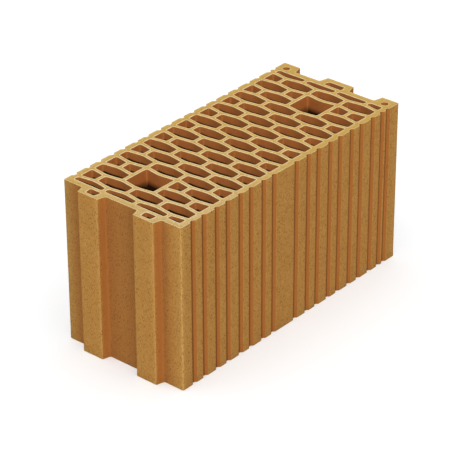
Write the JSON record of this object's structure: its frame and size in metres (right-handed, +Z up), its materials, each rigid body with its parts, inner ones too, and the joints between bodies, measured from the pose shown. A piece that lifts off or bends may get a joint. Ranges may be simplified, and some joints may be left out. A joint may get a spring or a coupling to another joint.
{
  "type": "hollow clay block",
  "caption": "Upright fired clay wall block with honeycomb cells, grip holes, tongues and matching recesses on its ends, and grooved long sides for plaster.",
  "frame": {"origin": "centre of the bed face's bounding box, on the plane that the block stands on", "axes": "+X along the block's length from the tongues to the recesses, +Y across the wall thickness, +Z up along the cells"},
  "size_m": [0.462, 0.2, 0.24],
  "materials": {
    "fired_clay": "matt fired clay, sandy ochre, extruded and wire cut"
  },
  "bodies": {
    "root": {"clay_block": "fired_clay"}
  },
  "joints": []
}
